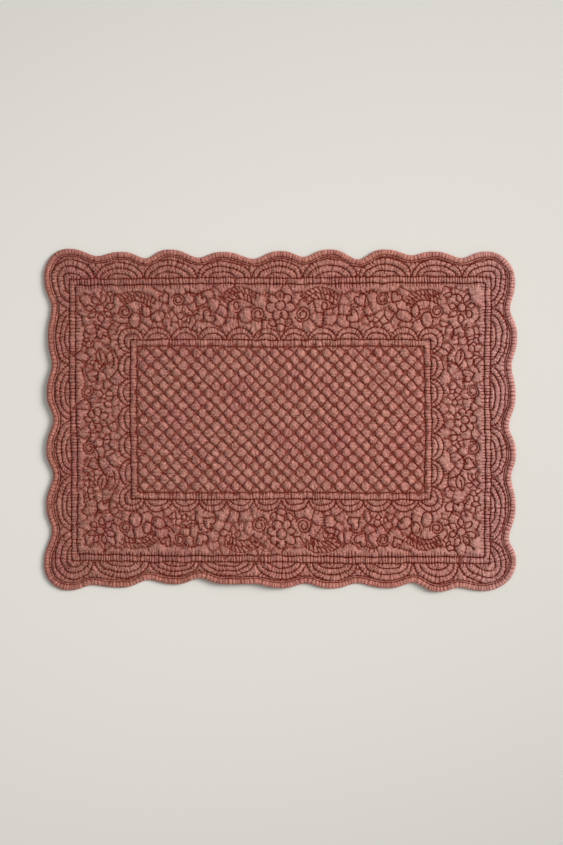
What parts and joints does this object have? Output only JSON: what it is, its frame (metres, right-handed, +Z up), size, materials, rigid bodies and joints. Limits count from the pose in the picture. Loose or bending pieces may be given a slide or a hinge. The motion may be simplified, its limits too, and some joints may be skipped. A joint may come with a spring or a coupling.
{
  "type": "fabric placemat",
  "caption": "Flat rectangular quilted cotton placemat with a scalloped, bound edge, a stitched flower border and a centre of small raised diamonds.",
  "frame": {"origin": "centre of the mat's bounding box on the table surface that it lies on", "axes": "+Z up from the table, +X along the mat's long side to the right as it is laid, +Y to the far long side"},
  "size_m": [0.499, 0.3618, 0.0072],
  "materials": {
    "quilted_cotton": "matt, washed terracotta cotton with a fine plain weave, darker in the stitched grooves",
    "binding_cotton": "matt, washed terracotta cotton cut on the bias and gathered"
  },
  "bodies": {
    "root": {"quilted_panel": "quilted_cotton", "edge_binding": "binding_cotton"}
  },
  "joints": []
}
